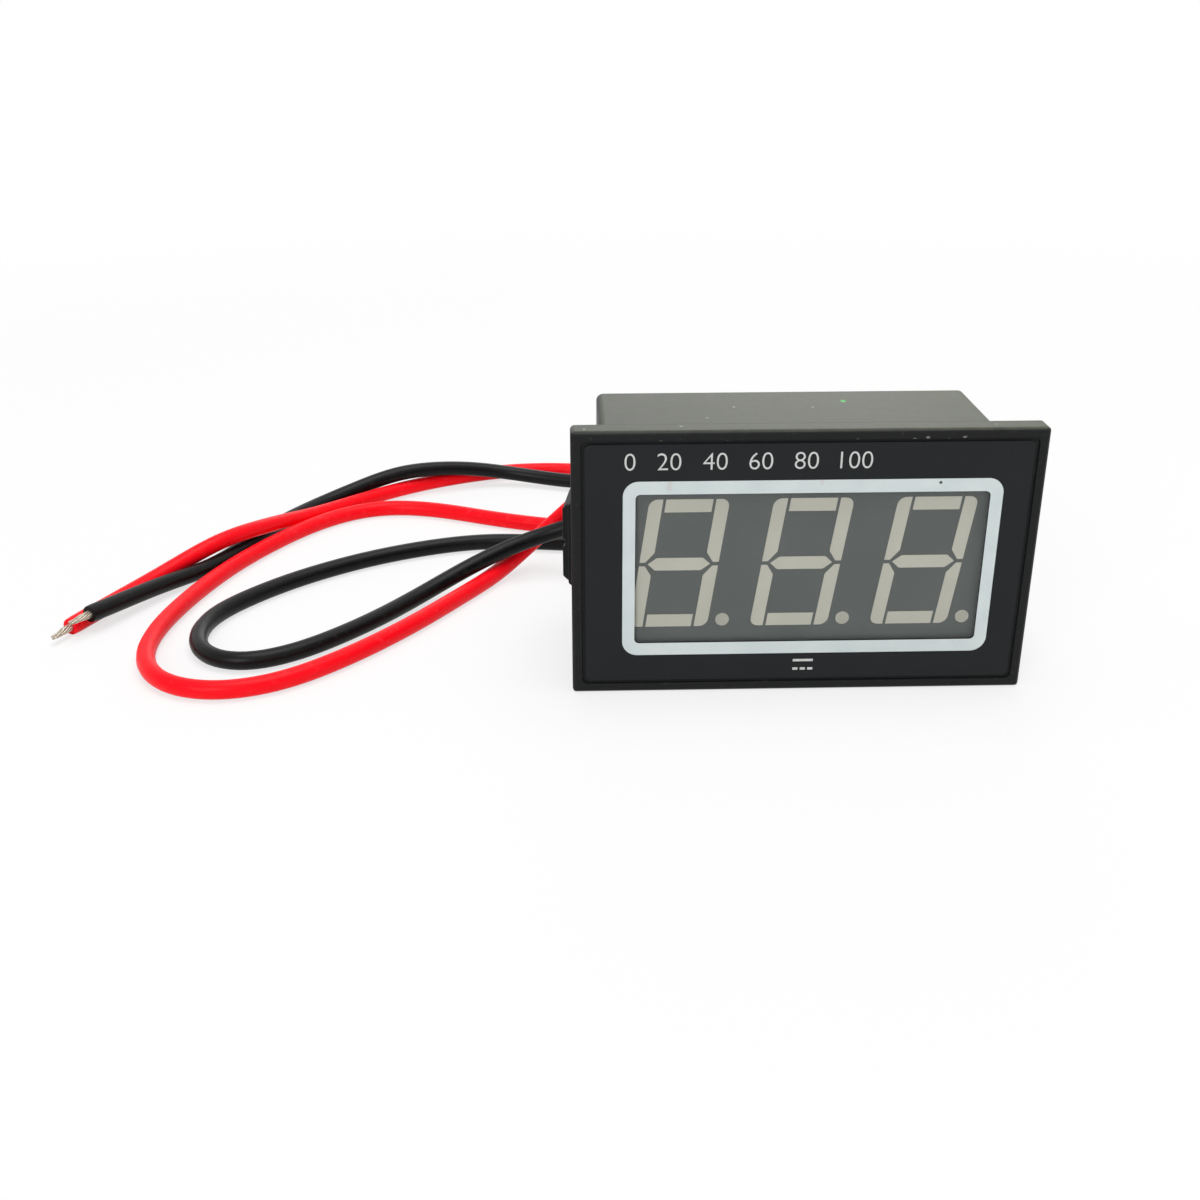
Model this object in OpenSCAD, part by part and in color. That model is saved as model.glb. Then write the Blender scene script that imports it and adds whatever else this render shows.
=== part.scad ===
// Three-digit LED panel voltmeter: a snap-in case, its display and its board,
// with two soldered supply leads. Millimetres. The bezel stands on z = 0,
// its front face looks along -Y and the case runs back along +Y.

/* [Bezel] */
// Width of the bezel plate
bezel_w = 48; // [48:0.5:56]
// Height of the bezel plate
bezel_h = 29; // [29:0.5:34]
// Thickness of the bezel plate in front of the panel
bezel_t = 2.5; // [2.5:0.25:3]
// Width of the rim round the front film
rim_w = 1.05; // [0.8:0.05:1.1]
// Depth of the seat the film lies in
film_seat = 0.35; // [0.25:0.05:0.4]

/* [Case] */
// Depth from the front face to the open back
case_d = 21; // [21:0.5:28]
// How far the bezel stands out at each side of the body
flange_side = 3.1; // [3:0.1:3.4]
// How far the bezel stands out above and below the body
flange_top = 2; // [1.6:0.1:2]
// Wall thickness of the body
wall = 1.4; // [1.2:0.1:1.4]
// Thickness of the wall around the display
front_wall = 1.8; // [1.6:0.1:2.2]
// Height of each snap arm
arm_h = 9.5; // [6:0.5:12]
// Reach of each snap arm beside the body
arm_reach = 4; // [3.8:0.1:4.4]
// Slot between the bezel and the snap arms, for the panel sheet
panel_slot = 1.8; // [1.2:0.1:2]

/* [Display] */
// Clearance between the display and the case at each side
display_side = 0.7; // [0.5:0.05:0.9]
// Height of a digit
digit_h = 14.2; // [13.2:0.2:14.6]
// Width of a digit
digit_w = 8.2; // [7.9:0.1:8.5]
// Width of one segment bar
bar_w = 1.4; // [1.2:0.1:1.6]
// Lean of the digits to the right, in degrees
digit_lean = 8; // [0:1:10]
// Depth of the light wells in the display shell
well_d = 1.2; // [0.8:0.1:2]

/* [Board] */
// Thickness of the circuit board
board_t = 1.6; // [1:0.2:1.6]
// Radius of a display pin
pin_r = 0.25; // [0.2:0.05:0.3]

/* [Leads] */
// Outer diameter of the insulation
lead_d = 2.1; // [1.8:0.1:2.1]
// Diameter of the bare tinned strands
strand_d = 1.1; // [0.8:0.1:1.2]
// Length of the bare tinned ends
bare_end = 3; // [2:0.5:5]

/* [Hidden] */
$fn = 48;
eps = 0.01;

// Depths are measured back from the bezel's front face.
front_y = -case_d / 2;
mid_z = bezel_h / 2;
body_w = bezel_w - 2 * flange_side;
body_h = bezel_h - 2 * flange_top;
room_w = body_w - 2 * wall;
room_h = body_h - 2 * wall;
fit = 0.2;

film_t = 0.25;
film_gap = 0.35;
film_w = bezel_w - 2 * rim_w - 2 * film_gap;
film_h = bezel_h - 2 * rim_w - 2 * film_gap;
film_front = film_seat - film_t;
art_x = 0.55;
art_z = -0.45;
ring_t = 0.05;

// The display fits in the case, and its three digits share its width. The digits
// sit a little to the left of its middle.
digits_x = -0.2;
display_w = room_w - 2 * display_side;
end_trim = 0.25;
digit_pitch = (display_w + 2 * end_trim) / 3;
display_h = 19;
display_d = 7;
filter_t = 0.3;
shell_front = film_seat + filter_t;
shell_back = shell_front + display_d;
window_w = display_w - 1.55;
window_h = display_h - 2.4;
ring_w = window_w + 2.55;
ring_h = window_h + 2.75;
board_front = shell_back + 1;
board_back = board_front + board_t;
board_w = room_w - 2 * fit;
board_h = room_h - 2 * fit;

ledge_x = board_w / 2 - 4.3;
lug_x = board_w / 2 - 11.3;
regulator_x = board_w / 2 - 8.3;
regulator_drop = 3.5;
capacitor_x = board_w / 2 - 6.8;
capacitor_rise = 3.7;
diode_x = 10.1 - board_w / 2;
diode_drop = 1.7;
chip_x = 0.5;
chip_len = 9.9;
capacitor_seat = 4.3;
// Halfway between the controller and the capacitor.
decoupling_x = (chip_x + chip_len / 2 + capacitor_x - capacitor_seat / 2) / 2;

pin_pitch = 2.54;
row_half = 7.62;
pin_out = 1.3;
joint_x = 4.8 - board_w / 2;
red_joint_z = mid_z + 3;
black_joint_z = mid_z - 4.5;
lead_start = board_back + 1.95;

// Lead routes: x, depth, height. Both start square to the board.
red_route = [[joint_x, lead_start, red_joint_z], [joint_x, 18.5, red_joint_z],
    [-14.6, 23.5, 17.2], [-15.8, 28, 16], [-18.4, 31.8, 13.6], [-21.6, 34.2, 10.5],
    [-27.4, 35.7, 4.6], [-30.4, 34.2, 2.3], [-33, 30.6, 1.25], [-37, 24.2, 1.1],
    [-43.4, 14.3, 1.1], [-50, 6.2, 1.1], [-55.8, 1.2, 1.1], [-62, -0.6, 1.1],
    [-67.8, 1.4, 1.1], [-71.2, 6.6, 1.1], [-72, 13.5, 1.1], [-70.6, 22.8, 1.1],
    [-67.2, 34, 1.1], [-62.4, 43.6, 1.1], [-57, 51, 1.1], [-51, 54.8, 1.1],
    [-44, 54.2, 1.1], [-33, 49.3, 1.1], [-24.4, 46.4, 1.1], [-17, 46.2, 1.1],
    [-11.2, 50, 1.1], [-9, 56.4, 1.1], [-11, 63.4, 1.1], [-16.8, 68.6, 1.1],
    [-24.4, 71, 1.1], [-33, 70.8, 1.1], [-41.2, 66.9, 1.3], [-48.8, 62.1, 1.3],
    [-55.1, 56.6, 1.2], [-60, 51, 1.5], [-63.4, 45.6, 2.3], [-65.6, 40.7, 3.1],
    [-68.9, 37.1, 3.4], [-75.7, 29.5, 1.5], [-78.4, 25, 1.1], [-82.2, 16.1, 1.1]];
black_route = [[joint_x, lead_start, black_joint_z], [joint_x, 18.5, black_joint_z],
    [-14.7, 24, 9.8], [-16.8, 28.8, 9], [-20.8, 31.9, 7.7], [-26, 32.8, 5.8],
    [-31.6, 31.4, 4.3], [-37, 28, 2.8], [-42, 23.4, 1.5], [-47.4, 16.4, 1.15],
    [-55.2, 8.2, 1.15], [-60.6, 5.9, 1.15], [-64.9, 8, 1.1], [-66.9, 12.4, 1.1],
    [-66.4, 18.4, 1.1], [-63, 24, 1.1], [-57.4, 30.2, 1.1], [-48, 37, 1.1],
    [-36, 41.4, 1.1], [-25, 40.6, 1.1], [-16, 39.4, 1.1], [-7.8, 40.6, 1.1],
    [-2.6, 45.2, 1.1], [-1.6, 51.6, 1.2], [-4.6, 57.2, 2.1], [-9.8, 60.4, 3.4],
    [-20.8, 62.8, 1.2], [-32, 67.4, 1.7], [-38, 66.6, 2.7], [-44, 64.2, 3.5],
    [-49.2, 62.6, 3.5], [-53.8, 60.7, 2.4], [-58.2, 57.4, 1.5], [-62.2, 52.4, 1.1],
    [-65.3, 45.8, 1.1], [-67.7, 38.8, 1.1], [-70.4, 32.9, 1.1], [-73.7, 28.2, 1.5],
    [-80, 16.7, 2.4]];

// ---- shared helpers ----

// Outline in x and z, drawn from depth d and t thick.
module panel(d, t) {
    translate([0, front_y + d + t, 0])
        rotate([90, 0, 0])
            linear_extrude(t) children();
}

// Round bar or cone along the depth, from d0 to d1, at x, z.
module rod(x, z, d0, d1, r0, r1) {
    translate([x, front_y + d0, z])
        rotate([-90, 0, 0])
            cylinder(h = d1 - d0, r1 = r0, r2 = r1);
}

// Stands a part on the back of the board: its z points away from the board.
module on_board(x, z, turn = 0) {
    translate([x, front_y + board_back, z])
        rotate([-90, 0, 0])
            rotate([0, 0, turn]) children();
}

// Extrudes an outline of y and z along x, centred.
module along_x(len) {
    translate([-len / 2, 0, 0])
        rotate([90, 0, 90])
            linear_extrude(len) children();
}

module rounded(w, h, r) {
    square([w - 2 * r, h], center = true);
    square([w, h - 2 * r], center = true);
    for (sx = [-1, 1], sz = [-1, 1])
        translate([sx * (w / 2 - r), sz * (h / 2 - r)]) circle(r);
}

module centred_rounded(w, h, r) {
    translate([0, mid_z]) rounded(w, h, r);
}

module block(w, d, h) {
    translate([-w / 2, -d / 2, 0]) cube([w, d, h]);
}

// ---- case ----

// Outline of the right snap arm in x and depth.
function arm_points() =
    let (bx = body_w / 2, nose = bezel_t + panel_slot, tip = arm_reach - 2.4)
    concat(
        [[bx - wall / 2, case_d], [bx + 0.75, case_d], [bx + 1.1, case_d - 0.4],
            [bx + arm_reach, nose + 2.7]],
        [for (i = [1:3], k = [0, 1]) [bx + arm_reach - 0.6 * i, nose + 2.7 - 0.675 * (i - 1 + k)]],
        [[bx + tip, nose + 0.675], [bx + tip, nose], [bx + tip - 0.5, nose],
            [bx + arm_reach - 1.37, nose + 3.3], [bx + 0.65, case_d - 3.8],
            [bx - wall / 2, case_d - 3.8]]);

module snap_arm() {
    bx = body_w / 2;
    half = arm_h / 2;
    translate([0, front_y, mid_z])
        difference() {
            translate([0, 0, -half]) linear_extrude(arm_h) polygon(arm_points());
            // Slanted corners at the widest place.
            for (s = [-1, 1])
                translate([0, case_d + 1, 0])
                    rotate([90, 0, 0])
                        linear_extrude(case_d + 2)
                            polygon([[bx + arm_reach - 0.9, s * (half + eps)],
                                [bx + arm_reach + 1, s * (half + eps)],
                                [bx + arm_reach + 1, s * (half - 0.9 - 1)],
                                [bx + arm_reach, s * (half - 0.9)]]);
            // Shallow groove along the outside.
            translate([0, 0, -0.4])
                linear_extrude(0.8)
                    polygon([[bx + 0.85, case_d - 0.4], [bx + arm_reach - 0.25, bezel_t + 4.5],
                        [bx + arm_reach + 1, bezel_t + 4.5], [bx + arm_reach + 1, case_d - 0.4]]);
        }
}

// Long triangular prisms that take the sharp front edges off the bezel.
module edge_cuts(c) {
    for (s = [-1, 1]) {
        translate([0, front_y, mid_z + s * bezel_h / 2])
            along_x(bezel_w + 2)
                polygon([[-eps, -s * c], [-eps, s], [c, s], [c, 0]]);
        translate([s * bezel_w / 2, front_y, -1])
            linear_extrude(bezel_h + 2)
                polygon([[-s * c, -eps], [s, -eps], [s, c], [0, c]]);
    }
}

// Four ledges inside that the board comes to rest on.
module board_ledges() {
    ledge_d = board_front - front_wall;
    for (sx = [-1, 1], sz = [-1, 1])
        translate([sx * ledge_x - 0.8, front_y + front_wall - eps,
            mid_z + sz * (room_h / 2 - 0.6 + eps) - 0.6])
            cube([1.6, ledge_d + eps, 1.2]);
}

// Four wedges that the board clicks past.
module board_lugs() {
    reach = fit + 0.5;
    for (sx = [-1, 1], sz = [-1, 1])
        translate([sx * lug_x, front_y + board_back, mid_z + sz * room_h / 2])
            along_x(4)
                polygon([[0, sz * 0.3], [0, -sz * reach], [2.2, 0], [2.2, sz * 0.3]]);
}

module case() {
    color("#26282a")
        difference() {
            union() {
                difference() {
                    union() {
                        panel(0, bezel_t) centred_rounded(bezel_w, bezel_h, 0.5);
                        panel(bezel_t - eps, case_d - bezel_t + eps)
                            centred_rounded(body_w, body_h, 0.8);
                    }
                    panel(front_wall, case_d) centred_rounded(room_w, room_h, 0.4);
                    edge_cuts(0.3);
                    panel(-1, 1 + film_seat)
                        centred_rounded(bezel_w - 2 * rim_w, bezel_h - 2 * rim_w, 0.6);
                    panel(-1, 2 + front_wall)
                        translate([0, mid_z])
                            square([display_w + 2 * fit, display_h + 2 * fit], center = true);
                    // Narrow relief where the body meets the bezel.
                    panel(bezel_t, 0.35)
                        difference() {
                            centred_rounded(body_w + 2, body_h + 2, 0.8);
                            centred_rounded(body_w - 0.5, body_h - 0.5, 0.8);
                        }
                }
                board_ledges();
                board_lugs();
                snap_arm();
                mirror([1, 0, 0]) snap_arm();
            }
        }
}

// ---- front film ----

module front_film() {
    color("#26282a")
        panel(film_front, film_t)
            difference() {
                centred_rounded(film_w, film_h, 0.6);
                translate([art_x, mid_z + art_z]) rounded(window_w, window_h, 0.5);
            }
}

module window_ring() {
    color("#d7e1e1")
        panel(film_front - ring_t, ring_t)
            translate([art_x, mid_z + art_z])
                difference() {
                    rounded(ring_w, ring_h, 1.6);
                    rounded(window_w, window_h, 0.5);
                }
}

// ---- display ----

module display_filter() {
    color("#5c615f")
        panel(film_seat, filter_t)
            translate([0, mid_z]) square([display_w, display_h], center = true);
}

// Leans a point of a digit to the right.
function lean(p) = [p.x + p.y * tan(digit_lean), p.y];
function leaned(pts) = [for (p = pts) lean(p)];
function mirrored(pts, sx, sy) = [for (p = pts) [sx * p.x, sy * p.y]];

seg_gap = 0.3;
waist = 0.2;
corner_r = 0.85;

// Upright bar of the upper right quarter, with a rounded outer corner.
function upright() =
    let (w = digit_w / 2, h = digit_h / 2, r = corner_r)
    concat(
        [[w, waist]],
        [for (a = [0:15:90]) [w - r + r * cos(a), h - r + r * sin(a)]],
        [[w - bar_w, h], [w - bar_w, bar_w / 2 + seg_gap * 1.93], [w - 0.6, waist]]);

// Bar across the top, its ends slanted against the uprights.
function top_bar() =
    let (h = digit_h / 2, end = digit_w / 2 - bar_w - seg_gap)
    [[-end, h], [end, h], [end, h - bar_w], [-end, h - bar_w]];

// Middle bar, pointed at both ends.
function middle_bar() =
    let (end = digit_w / 2 - bar_w + 0.53, half = bar_w / 2)
    [[-end, 0], [-end + 0.85, half], [end - 0.85, half], [end, 0],
        [end - 0.85, -half], [-end + 0.85, -half]];

// The seven bars and the decimal point of one digit, in x and z about its middle.
module digit_outline() {
    for (sx = [-1, 1], sy = [-1, 1])
        polygon(leaned(mirrored(upright(), sx, sy)));
    for (sy = [-1, 1])
        polygon(leaned(mirrored(top_bar(), 1, sy)));
    polygon(leaned(middle_bar()));
    translate([4.7, -6.35]) circle(0.72);
}

module digit_segments(i) {
    color("#beb6aa")
        panel(shell_front, well_d)
            translate([digits_x + (i - 2) * digit_pitch, mid_z]) digit_outline();
}

module digit_1_segments() {
    digit_segments(1);
}

module digit_2_segments() {
    digit_segments(2);
}

module digit_3_segments() {
    digit_segments(3);
}

module display_shell() {
    color("#3c3f3e")
        difference() {
            panel(shell_front, shell_back - shell_front)
                translate([0, mid_z]) square([display_w, display_h], center = true);
            for (i = [1:3])
                panel(shell_front - 1, well_d + 1)
                    translate([digits_x + (i - 2) * digit_pitch, mid_z]) digit_outline();
        }
}

module display_substrate() {
    color("#d8d4c4")
        panel(shell_back, board_front - shell_back)
            translate([0, mid_z]) square([display_w, display_h], center = true);
}

// Places its children at the twelve display pins.
module at_pins() {
    for (i = [0:5], s = [-1, 1])
        translate([(i - 2.5) * pin_pitch, 0, mid_z + s * row_half]) children();
}

module display_pins() {
    color("#c9c9c4")
        at_pins() rod(0, 0, board_front, board_back + pin_out, pin_r, pin_r);
}

module pin_solder() {
    color("#b9bab6")
        difference() {
            at_pins() rod(0, 0, board_back, board_back + 0.9, 0.85, 0.38);
            at_pins() rod(0, 0, board_back - 1, board_back + 2, pin_r, pin_r);
        }
}

// ---- board ----

module circuit_board() {
    color("#1f6b3a")
        difference() {
            panel(board_front, board_t)
                translate([0, mid_z]) square([board_w, board_h], center = true);
            at_pins() rod(0, 0, board_front - 1, board_back + 1, pin_r, pin_r);
            for (z = [red_joint_z, black_joint_z])
                rod(joint_x, z, board_front - 1, board_back + 1, strand_d / 2, strand_d / 2);
        }
}

// Sixteen-lead controller: its sides are drafted above and below the leads.
module controller_chip() {
    color("#2b2b2d")
        on_board(chip_x, mid_z)
            difference() {
                along_x(chip_len)
                    polygon([[-1.87, 0.15], [1.87, 0.15], [1.95, 0.68], [1.95, 0.96],
                        [1.85, 1.6], [-1.85, 1.6], [-1.95, 0.96], [-1.95, 0.68]]);
                translate([0.85 - chip_len / 2, 1.1, 1.5]) cylinder(h = 1, r = 0.35);
            }
}

module chip_leads() {
    color("#c4c5c2")
        on_board(chip_x, mid_z)
            for (i = [0:7], s = [-1, 1])
                translate([(i - 3.5) * 1.27, 0, 0])
                    along_x(0.42)
                        polygon([[s * 1.95, 0.72], [s * 1.95, 0.92], [s * 2.38, 0.92],
                            [s * 2.58, 0.2], [s * 3, 0.2], [s * 3, 0], [s * 2.42, 0],
                            [s * 2.2, 0.72]]);
}

module at_regulator() {
    on_board(regulator_x, mid_z - regulator_drop) children();
}

module regulator() {
    color("#2b2b2d")
        at_regulator()
            along_x(4.5)
                polygon([[-1.25, 0], [1.25, 0], [1.25, 0.45], [1.15, 1.5], [-1.15, 1.5],
                    [-1.25, 0.45]]);
}

module regulator_leads() {
    color("#c4c5c2")
        at_regulator() {
            for (i = [-1:1])
                translate([i * 1.5, 1.75, 0]) block(0.45, 1, 0.4);
            translate([0, -1.55, 0]) block(1.7, 0.6, 0.4);
        }
}

module at_diode() {
    on_board(diode_x, mid_z - diode_drop, 90) children();
}

module diode() {
    color("#2b2b2d")
        at_diode()
            translate([0, 1.3, 0])
                rotate([90, 0, 0])
                    linear_extrude(2.6)
                        polygon([[-2.1, 0.15], [2.1, 0.15], [2.15, 0.9], [2.15, 1.2],
                            [2.05, 2.2], [-2.05, 2.2], [-2.15, 1.2], [-2.15, 0.9]]);
}

module diode_leads() {
    color("#c4c5c2")
        at_diode()
            for (s = [-1, 1])
                translate([0, 0.7, 0])
                    rotate([90, 0, 0])
                        linear_extrude(1.4)
                            polygon([[s * 2.15, 1.15], [s * 2.5, 1.15], [s * 2.5, 0],
                                [s * 1.3, 0], [s * 1.3, 0.15], [s * 2.1, 0.15],
                                [s * 2.15, 0.9]]);
}

module at_capacitor() {
    on_board(capacitor_x, mid_z + capacitor_rise) children();
}

module capacitor_base() {
    color("#333335")
        at_capacitor()
            linear_extrude(0.9)
                difference() {
                    square(capacitor_seat, center = true);
                    for (s = [-1, 1])
                        translate([capacitor_seat / 2, s * capacitor_seat / 2])
                            rotate([0, 0, 45]) square(1.3, center = true);
                }
}

// Aluminium can: rolled top edge and the bead that grips the seal.
module capacitor_can() {
    color("#c8cacb")
        at_capacitor()
            rotate_extrude()
                polygon([[0, 0.9], [2, 0.9], [2, 1.5], [1.86, 1.7], [1.86, 1.95], [2, 2.15],
                    [2, 5.1], [1.91, 5.31], [1.7, 5.4], [0, 5.4]]);
}

module capacitor_tabs() {
    color("#c4c5c2")
        at_capacitor()
            for (s = [-1, 1])
                translate([s * (capacitor_seat / 2 + 0.25), 0, 0]) block(0.5, 0.7, 0.2);
}

// Chip parts: x, z about the middle of the board, and turn.
chip_r_spots = [for (i = [0:7]) [chip_x + (i - 3.5) * 1.3, -5.2, 90]];
chip_c_spots = [[decoupling_x, 0.4, 0], [decoupling_x, 2.4, 0], [diode_x - 0.8, 4.9, 0]];

module chip_bodies(spots, t) {
    for (s = spots)
        on_board(s[0], mid_z + s[1], s[2]) block(1, 0.8, t);
}

module chip_resistors() {
    color("#1d1d20") chip_bodies(chip_r_spots, 0.45);
}

module chip_capacitors() {
    color("#a98a62") chip_bodies(chip_c_spots, 0.8);
}

module chip_ends(spots, t) {
    for (s = spots, side = [-1, 1])
        on_board(s[0], mid_z + s[1], s[2])
            translate([side * 0.65, 0, 0]) block(0.3, 0.8, t);
}

module chip_terminals() {
    color("#c4c5c2") {
        chip_ends(chip_r_spots, 0.45);
        chip_ends(chip_c_spots, 0.8);
    }
}

// ---- leads ----

// Bare strands through the board and the solder round them.
module wire_joints() {
    color("#b9bab6")
        for (z = [red_joint_z, black_joint_z]) {
            rod(joint_x, z, board_front, lead_start, strand_d / 2, strand_d / 2);
            rod(joint_x, z, board_back, board_back + 1.2, 1.5, strand_d / 2 + 0.05);
        }
}

lead_sides = 8;

function unit(v) = v / norm(v);
function placed(route) = [for (p = route) [p.x, p.y + front_y, p.z]];

// Direction of travel at point i.
function heading(pts, i) =
    let (last = len(pts) - 1)
    i == 0 ? [0, 1, 0] : unit(pts[min(i + 1, last)] - pts[i - 1]);

// One ring of points round point i, square to the direction of travel.
function ring(pts, i, r) =
    let (
        ahead = heading(pts, i),
        side = unit(cross(ahead, [0, 0, 1])),
        up = cross(side, ahead))
    [for (k = [0:lead_sides - 1])
        let (a = 360 * (k + 0.5) / lead_sides)
        pts[i] + r * (cos(a) * side + sin(a) * up)];

// Two triangles on each side of each stretch between rings.
function skin(rings) =
    [for (i = [0:rings - 2], k = [0:lead_sides - 1], half = [0, 1])
        let (
            a = i * lead_sides + k,
            b = i * lead_sides + (k + 1) % lead_sides,
            c = a + lead_sides,
            d = b + lead_sides)
        half == 0 ? [a, b, d] : [a, d, c]];

module lead(route) {
    pts = placed(route);
    count = len(pts);
    last = (count - 1) * lead_sides;
    polyhedron(
        points = [for (i = [0:count - 1]) each ring(pts, i, lead_d / 2)],
        faces = concat(
            skin(count),
            [[for (k = [0:lead_sides - 1]) lead_sides - 1 - k]],
            [[for (k = [0:lead_sides - 1]) last + k]]));
}

// Bare tinned strands that carry on where a lead ends.
module bare_tip(route) {
    pts = placed(route);
    last = len(pts) - 1;
    dir = heading(pts, last);
    translate(pts[last])
        rotate([0, acos(dir.z), atan2(dir.y, dir.x)])
            cylinder(h = bare_end, r = strand_d / 2, $fn = 16);
}

module red_wire() {
    color("#f01928") lead(red_route);
}

module black_wire() {
    color("#1e2020") lead(black_route);
}

module red_tip() {
    color("#c9c3b4") bare_tip(red_route);
}

module black_tip() {
    color("#c9c3b4") bare_tip(black_route);
}

case();
front_film();
window_ring();
display_filter();
display_shell();
display_substrate();
digit_1_segments();
digit_2_segments();
digit_3_segments();
display_pins();
pin_solder();
circuit_board();
controller_chip();
chip_leads();
regulator();
regulator_leads();
diode();
diode_leads();
capacitor_base();
capacitor_can();
capacitor_tabs();
chip_resistors();
chip_capacitors();
chip_terminals();
wire_joints();
red_wire();
black_wire();
red_tip();
black_tip();
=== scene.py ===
import math
import bmesh
import bpy
from mathutils import Matrix, Vector, noise


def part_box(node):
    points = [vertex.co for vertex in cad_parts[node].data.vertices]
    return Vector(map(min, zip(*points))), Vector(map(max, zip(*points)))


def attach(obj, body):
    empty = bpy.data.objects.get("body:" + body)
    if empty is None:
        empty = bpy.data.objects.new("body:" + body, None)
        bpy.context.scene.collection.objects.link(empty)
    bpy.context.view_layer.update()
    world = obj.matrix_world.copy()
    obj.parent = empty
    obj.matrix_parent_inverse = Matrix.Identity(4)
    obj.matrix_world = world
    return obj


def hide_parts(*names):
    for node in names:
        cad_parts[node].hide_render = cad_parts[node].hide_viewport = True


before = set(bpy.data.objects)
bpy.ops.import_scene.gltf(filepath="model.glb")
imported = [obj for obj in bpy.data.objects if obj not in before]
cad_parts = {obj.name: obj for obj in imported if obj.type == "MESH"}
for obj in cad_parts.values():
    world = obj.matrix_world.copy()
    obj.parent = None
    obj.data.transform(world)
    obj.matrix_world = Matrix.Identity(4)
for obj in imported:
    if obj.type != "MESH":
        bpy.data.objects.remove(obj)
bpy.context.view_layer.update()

mm = 0.001
frontY = -10.5  # the bezel's front face, in mm
midZ = 14.5
scene = bpy.context.scene
print("frame loaded:", len(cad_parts), "CAD nodes")


def tone(code):
    # "#rrggbb" as linear light
    values = [int(code[i:i + 2], 16) / 255 for i in (1, 3, 5)]
    return tuple(v / 12.92 if v <= 0.04045 else ((v + 0.055) / 1.055) ** 2.4 for v in values) + (1,)


class Value:
    # One socket of a material, with arithmetic that adds Math nodes.
    def __init__(self, paint, socket):
        self.paint = paint
        self.socket = socket

    def math(self, operation, *others):
        settings = {"operation": operation}
        return self.paint.add("ShaderNodeMath", settings, [self, *others])

    def __add__(self, other):
        return self.math("ADD", other)

    def __sub__(self, other):
        return self.math("SUBTRACT", other)

    def __mul__(self, other):
        return self.math("MULTIPLY", other)

    def __gt__(self, other):
        return self.math("GREATER_THAN", other)

    def __lt__(self, other):
        return self.math("LESS_THAN", other)

    def __rsub__(self, other):
        return self.paint.add("ShaderNodeMath", {"operation": "SUBTRACT"}, [other, self])

    __radd__ = __add__
    __rmul__ = __mul__

    def larger(self, other):
        return self.math("MAXIMUM", other)


class Paint:
    # A Principled material. Constants go on its sockets, patterns come through links.
    def __init__(self, name, base, roughness, **constants):
        self.material = bpy.data.materials.new(name)
        self.material.use_nodes = True
        self.tree = self.material.node_tree
        self.shader = self.tree.nodes["Principled BSDF"]
        self.shader.inputs["Base Color"].default_value = tone(base)
        self.shader.inputs["Roughness"].default_value = roughness
        for key, value in constants.items():
            self.shader.inputs[key.replace("_", " ")].default_value = value

    def add(self, kind, settings=None, inputs=(), output=0):
        node = self.tree.nodes.new(kind)
        for key, value in (settings or {}).items():
            if key == "stops":
                while len(node.color_ramp.elements) < len(value):
                    node.color_ramp.elements.new(0.5)
                for element, (place, shade) in zip(node.color_ramp.elements, value):
                    element.position = place
                    element.color = (shade, shade, shade, 1)
            else:
                setattr(node, key, value)
        pairs = inputs.items() if isinstance(inputs, dict) else enumerate(inputs)
        for key, value in pairs:
            if isinstance(value, Value):
                self.tree.links.new(value.socket, node.inputs[key])
            else:
                node.inputs[key].default_value = value
        return Value(self, node.outputs[output])

    def place(self):
        return self.add("ShaderNodeTexCoord", output="Object")

    def stretched(self, scale):
        return self.add("ShaderNodeMapping", {}, {"Vector": self.place(), "Scale": scale})

    def noise(self, perMetre, detail=2.0, roughness=0.5, at=None):
        return self.add("ShaderNodeTexNoise", {}, {
            "Vector": at or self.place(), "Scale": perMetre, "Detail": detail, "Roughness": roughness})

    def ramp(self, value, *stops):
        return self.add("ShaderNodeValToRGB", {"stops": stops}, {"Fac": value})

    def band(self, value, low, high):
        # 0 below low, 1 above high, smooth between
        settings = {"interpolation_type": "SMOOTHSTEP"}
        return self.add("ShaderNodeMapRange", settings, {"Value": value, "From Min": low, "From Max": high})

    def axes(self, at=None):
        split = self.add("ShaderNodeSeparateXYZ", {}, {"Vector": at or self.place()}).socket.node
        return [Value(self, split.outputs[i]) for i in range(3)]

    def facing(self):
        # x, y and z of the surface's own direction
        return self.axes(self.add("ShaderNodeNewGeometry", output="Normal"))

    def spot(self, x, y, z, radius, squeeze=(1, 1, 1)):
        # 1 at a place given in mm, fading out at its radius, ragged at the edge
        rag = self.noise(2.2 / (radius * mm), 2, 0.7)
        middle = tuple(a * b * mm for a, b in zip((x, y, z), squeeze))
        away = self.add("ShaderNodeVectorMath", {"operation": "DISTANCE"},
                        [self.stretched(squeeze), middle], output="Value")
        return 1 - self.band(away * 1000 + (rag - 0.5) * radius * 2.4, radius * 0.8, radius * 1.2)

    def blended(self, factor, first, second):
        node = self.tree.nodes.new("ShaderNodeMix")
        node.data_type = "RGBA"
        for socket, value in ((node.inputs[0], factor), (node.inputs[6], first), (node.inputs[7], second)):
            if isinstance(value, Value):
                self.tree.links.new(value.socket, socket)
            else:
                socket.default_value = tone(value) if isinstance(value, str) else value
        return Value(self, node.outputs[2])

    def bump(self, height, distance, strength=1.0):
        return self.add("ShaderNodeBump", {}, {"Height": height, "Distance": distance, "Strength": strength})

    def feed(self, **links):
        for key, value in links.items():
            self.tree.links.new(value.socket, self.shader.inputs[key.replace("_", " ")])
        return self


def finished(piece, paint, replaced=()):
    # Gives a piece its material and its body, and hides the CAD nodes that it stands for.
    if piece.name not in scene.collection.objects:
        scene.collection.objects.link(piece)
    piece.data.materials.clear()
    piece.data.materials.append(paint.material)
    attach(piece, "root")
    if replaced:
        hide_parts(*replaced)
    return piece


meshPlan = {
    "join": 2e-7,  # metres between points that become one
    "flat": 0.3, "hard": 28, "sharp": 32}  # angles between faces, in degrees


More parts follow.
